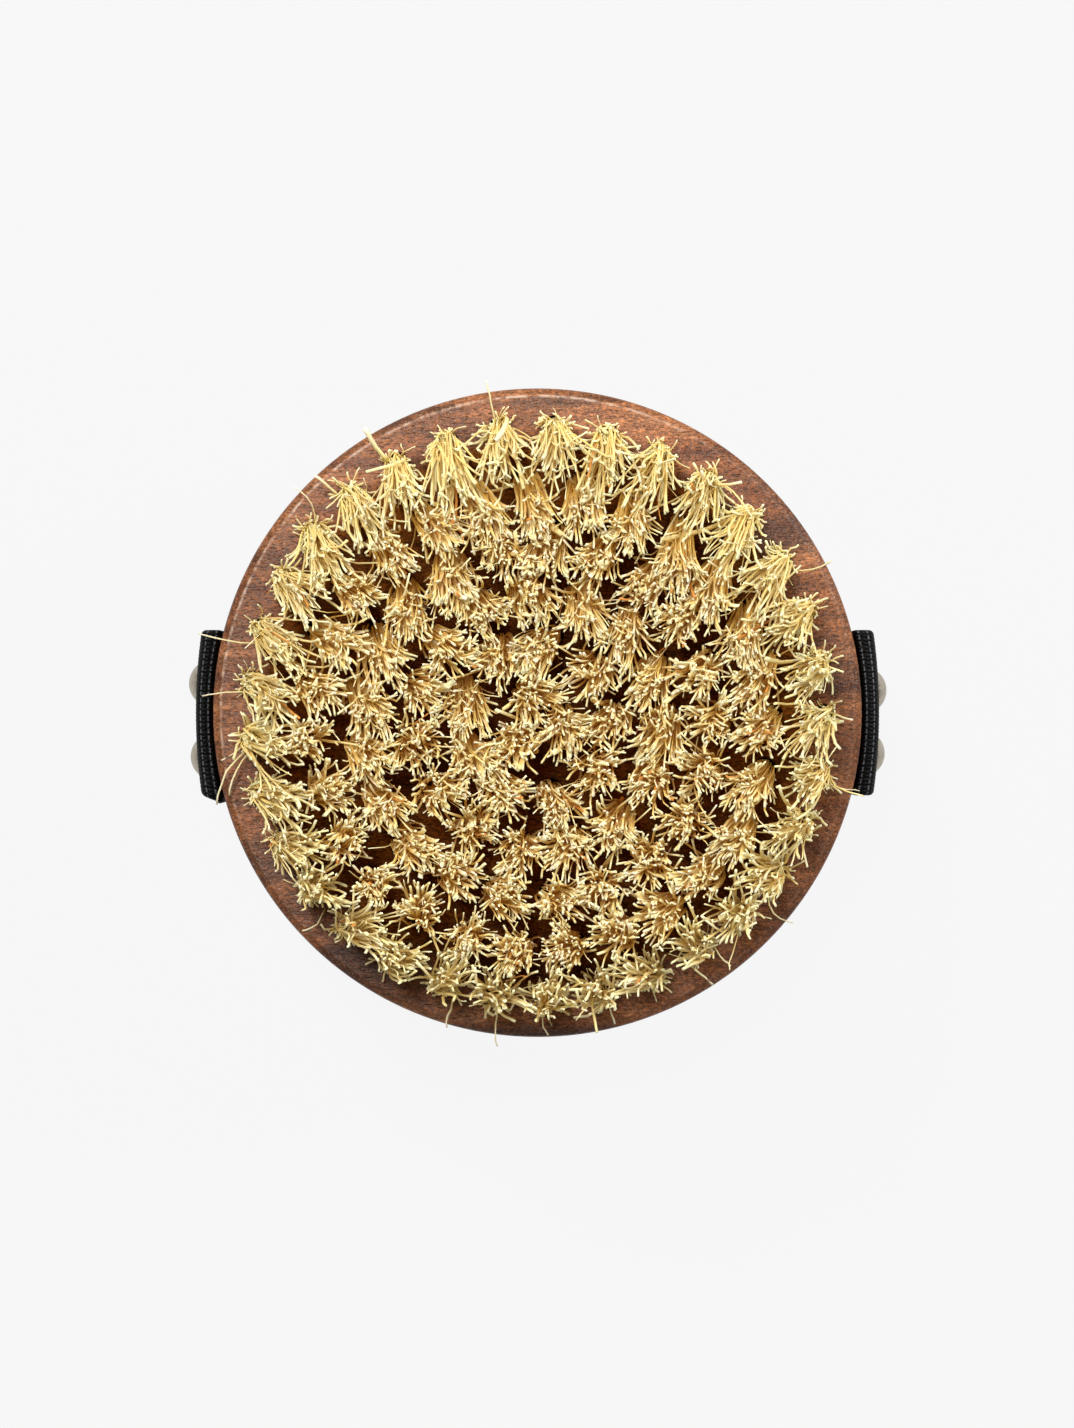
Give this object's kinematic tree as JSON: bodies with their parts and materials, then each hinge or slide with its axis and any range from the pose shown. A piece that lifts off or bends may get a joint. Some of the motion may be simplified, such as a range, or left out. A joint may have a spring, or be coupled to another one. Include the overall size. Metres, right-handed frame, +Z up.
{
  "type": "body brush",
  "caption": "Round wooden hand brush with tufts of pale plant fibre in rings on one face and a black webbing hand strap nailed to the board's side.",
  "frame": {"origin": "under the board's centre, on the surface that the strap rests on", "axes": "+Z up towards the bristles' tips, +X along the strap to the right in the picture, +Y to the top of the picture"},
  "size_m": [0.1367, 0.1248, 0.076],
  "materials": {
    "walnut": "satin",
    "sisal": "matte",
    "webbing": "matte",
    "nickel": "satin"
  },
  "bodies": {
    "brush": {"board": "walnut", "nail_left_1": "nickel", "nail_left_2": "nickel", "nail_right_1": "nickel", "nail_right_2": "nickel", "strap_arch_left": "webbing", "strap_arch_right": "webbing", "strap_end_left": "webbing", "strap_end_right": "webbing", "tuft_outer_01": "sisal", "tuft_outer_02": "sisal", "tuft_outer_03": "sisal", "tuft_outer_04": "sisal", "tuft_outer_05": "sisal", "tuft_outer_06": "sisal", "tuft_outer_07": "sisal", "tuft_outer_08": "sisal", "tuft_outer_09": "sisal", "tuft_outer_10": "sisal", "tuft_outer_11": "sisal", "tuft_outer_12": "sisal", "tuft_outer_13": "sisal", "tuft_outer_14": "sisal", "tuft_outer_15": "sisal", "tuft_outer_16": "sisal", "tuft_outer_17": "sisal", "tuft_outer_18": "sisal", "tuft_outer_19": "sisal", "tuft_outer_20": "sisal", "tuft_outer_21": "sisal", "tuft_outer_22": "sisal", "tuft_outer_23": "sisal", "tuft_outer_24": "sisal", "tuft_outer_25": "sisal", "tuft_outer_26": "sisal", "tuft_outer_27": "sisal", "tuft_outer_28": "sisal", "tuft_outer_29": "sisal", "tuft_outer_30": "sisal", "tuft_outer_31": "sisal", "tuft_outer_32": "sisal", "tuft_outer_33": "sisal", "tufts_ring_1": "sisal", "tufts_ring_2_a": "sisal", "tufts_ring_2_b": "sisal", "tufts_ring_2_c": "sisal", "tufts_ring_3_a": "sisal", "tufts_ring_3_b": "sisal", "tufts_ring_3_c": "sisal", "tufts_ring_4_a": "sisal", "tufts_ring_4_b": "sisal", "tufts_ring_4_c": "sisal", "tufts_ring_5_a": "sisal", "tufts_ring_5_b": "sisal", "tufts_ring_5_c": "sisal"},
    "strap": {"strap_crown": "webbing"}
  },
  "joints": [
    {"name": "strap_press", "type": "slide", "parent": "brush", "child": "strap", "axis": [0, 0, 1], "range_m": [0, 0.012], "stiffness_N_per_m": 250, "springref_m": -0.02, "deforming": ["strap_arch_left", "strap_arch_right"]}
  ]
}
